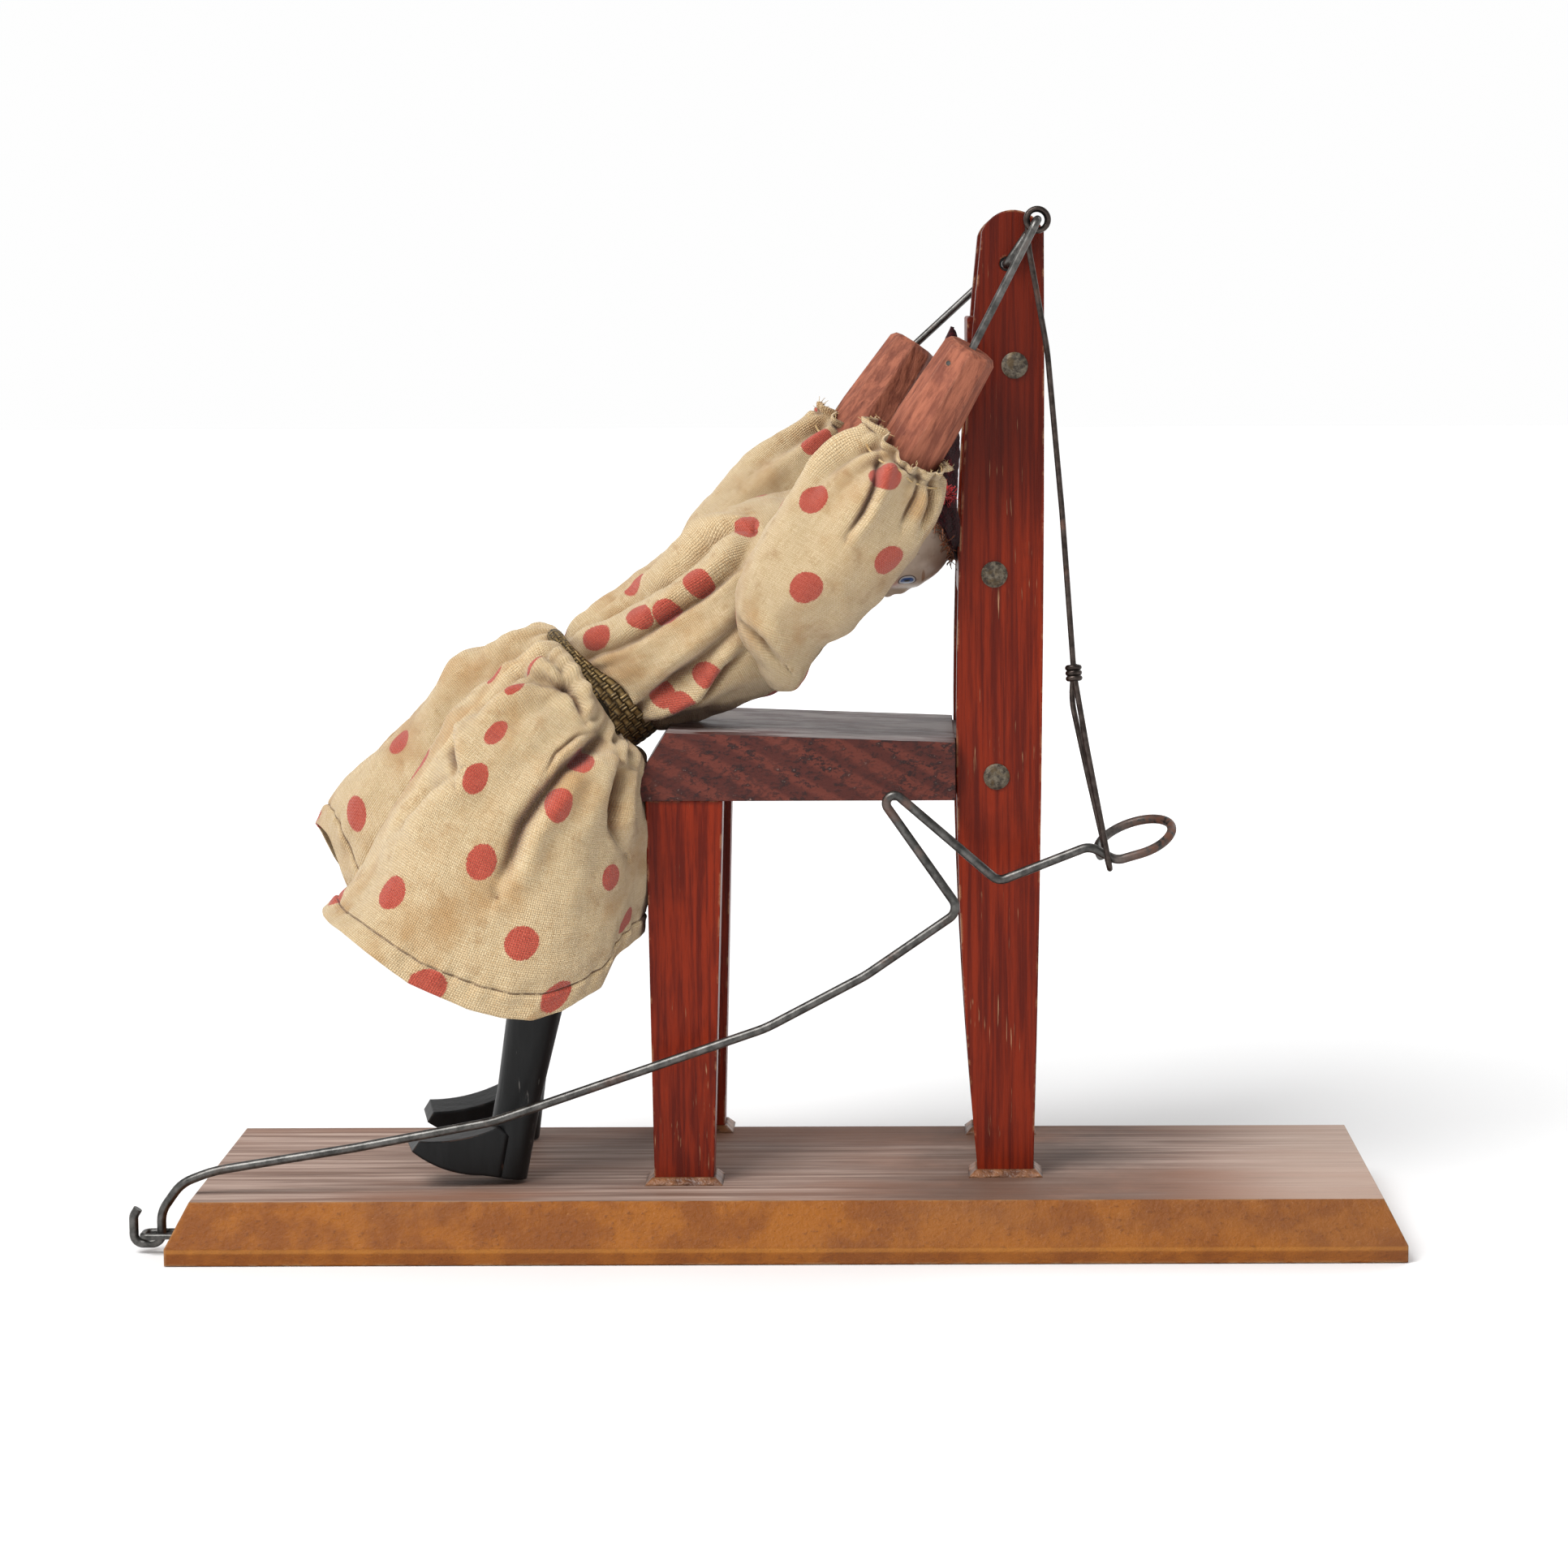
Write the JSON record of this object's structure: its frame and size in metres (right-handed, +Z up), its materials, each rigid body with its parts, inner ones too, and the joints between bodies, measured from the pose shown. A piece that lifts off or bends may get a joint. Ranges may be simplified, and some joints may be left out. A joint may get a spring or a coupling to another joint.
{
  "type": "hand-lever acrobat toy",
  "caption": "Wooden toy: a doll whose arms are the grips of a wire crank on a chair back; a bent-wire lever with a finger ring swings it up into a handstand.",
  "frame": {"origin": "centre of the underside of the base board", "axes": "+X along the base board towards the chair's back, +Y across the board away from the hand lever, +Z up"},
  "size_m": [0.2901, 0.1022, 0.2361],
  "materials": {
    "base_wood": "worn varnish",
    "chair_paint": "worn red paint",
    "arm_wood": "matt stain",
    "black_wood": "satin paint",
    "bare_wood": "raw",
    "dark_steel": "oxidised",
    "nail_steel": "worn",
    "glue": "hide glue",
    "composition": "painted",
    "linen": "plain weave with red spots",
    "velvet": "velvet",
    "wool": "wool",
    "braid": "metal braid"
  },
  "bodies": {
    "stand": {"base_board": "base_wood", "near_back_post": "chair_paint", "far_back_post": "chair_paint", "near_front_leg": "chair_paint", "far_front_leg": "chair_paint", "seat_board": "chair_paint", "upper_back_slat": "chair_paint", "middle_back_slat": "chair_paint", "back_nails": "nail_steel", "foot_glue_beads": "glue", "lever_staple": "dark_steel"},
    "lever": {"hand_lever": "dark_steel"},
    "crank": {"crank_wire": "dark_steel", "near_arm": "arm_wood", "far_arm": "arm_wood", "arm_pins": "dark_steel", "near_sleeve": "linen", "far_sleeve": "linen"},
    "link": {"link_rod": "dark_steel"},
    "torso": {"torso_block": "bare_wood", "shoulder_pin": "dark_steel", "head": "composition", "hat": "velvet", "hat_tuft": "wool", "blouse": "linen", "belt": "braid", "hip_pin": "dark_steel"},
    "near_leg_body": {"near_leg": "black_wood", "near_shoe": "black_wood", "near_trouser_leg": "linen"},
    "far_leg_body": {"far_leg": "black_wood", "far_shoe": "black_wood", "far_trouser_leg": "linen"}
  },
  "joints": [
    {"name": "lever_pull", "type": "hinge", "parent": "stand", "child": "lever", "pos_m": [-0.1468, -0.033, 0.0044], "axis": [0, 1, 0], "range_deg": [0, 5]},
    {"name": "crank_turn", "type": "hinge", "parent": "stand", "child": "crank", "pos_m": [0.0504, 0.0125, 0.2234], "axis": [0, 1, 0], "range_deg": [0, 145]},
    {"name": "link_swing", "type": "hinge", "parent": "crank", "child": "link", "pos_m": [0.05699, -0.0235, 0.2331], "axis": [0, 1, 0], "range_deg": [-151, 0]},
    {"name": "torso_swing", "type": "hinge", "parent": "crank", "child": "torso", "pos_m": [0.0063, 0.0092, 0.1578], "axis": [-0.2074, 0.9758, 0.0698], "range_deg": [0, 8], "deforming": ["hat"]},
    {"name": "near_leg_swing", "type": "hinge", "parent": "torso", "child": "near_leg_body", "pos_m": [-0.04543, -0.01698, 0.12069], "axis": [-0.2074, 0.9758, 0.0698], "range_deg": [0, 40], "deforming": ["near_trouser_leg"]},
    {"name": "far_leg_swing", "type": "hinge", "parent": "torso", "child": "far_leg_body", "pos_m": [-0.05265, 0.01698, 0.12312], "axis": [-0.2074, 0.9758, 0.0698], "range_deg": [0, 40], "deforming": ["far_trouser_leg"]}
  ],
  "couplings": [
    {"joint": "lever_pull", "follows": "crank_turn", "ratio": 0.0341},
    {"joint": "link_swing", "follows": "crank_turn", "ratio": -1.0366}
  ]
}
